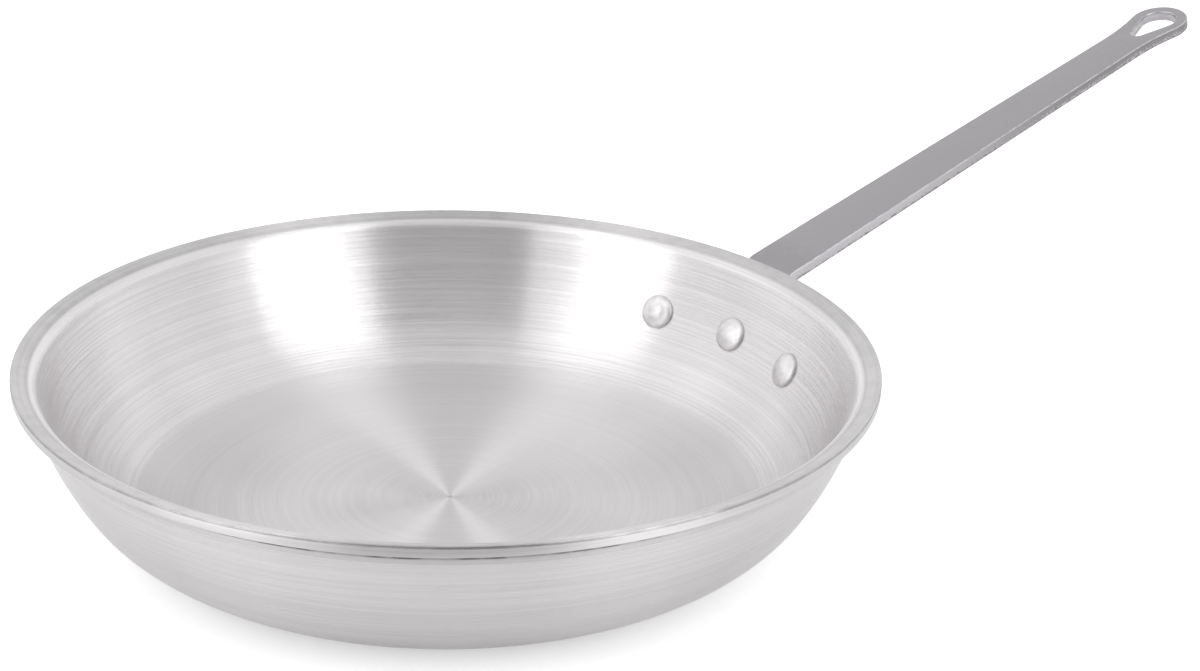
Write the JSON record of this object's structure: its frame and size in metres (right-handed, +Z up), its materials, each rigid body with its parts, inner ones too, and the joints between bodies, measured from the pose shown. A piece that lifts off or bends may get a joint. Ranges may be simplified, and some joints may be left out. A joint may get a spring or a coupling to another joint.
{
  "type": "omelette pan",
  "caption": "Round frying pan with a flat base, curved flared wall and turned-out lip, and a long rising strap handle with a teardrop hanging eye, riveted to the wall.",
  "frame": {"origin": "centre of the base's underside", "axes": "+Z up along the bowl's axis, +X from the bowl's axis out along the handle, +Y to the left of the handle"},
  "size_m": [0.5488, 0.305, 0.1286],
  "materials": {
    "spun_aluminium": "spun, with fine concentric turning lines",
    "plated_steel": "dull plated plate with sheared edges",
    "rivet_aluminium": "satin"
  },
  "bodies": {
    "root": {"pan_body": "spun_aluminium", "handle": "plated_steel", "rivet_left": "rivet_aluminium", "rivet_middle": "rivet_aluminium", "rivet_right": "rivet_aluminium"}
  },
  "joints": []
}
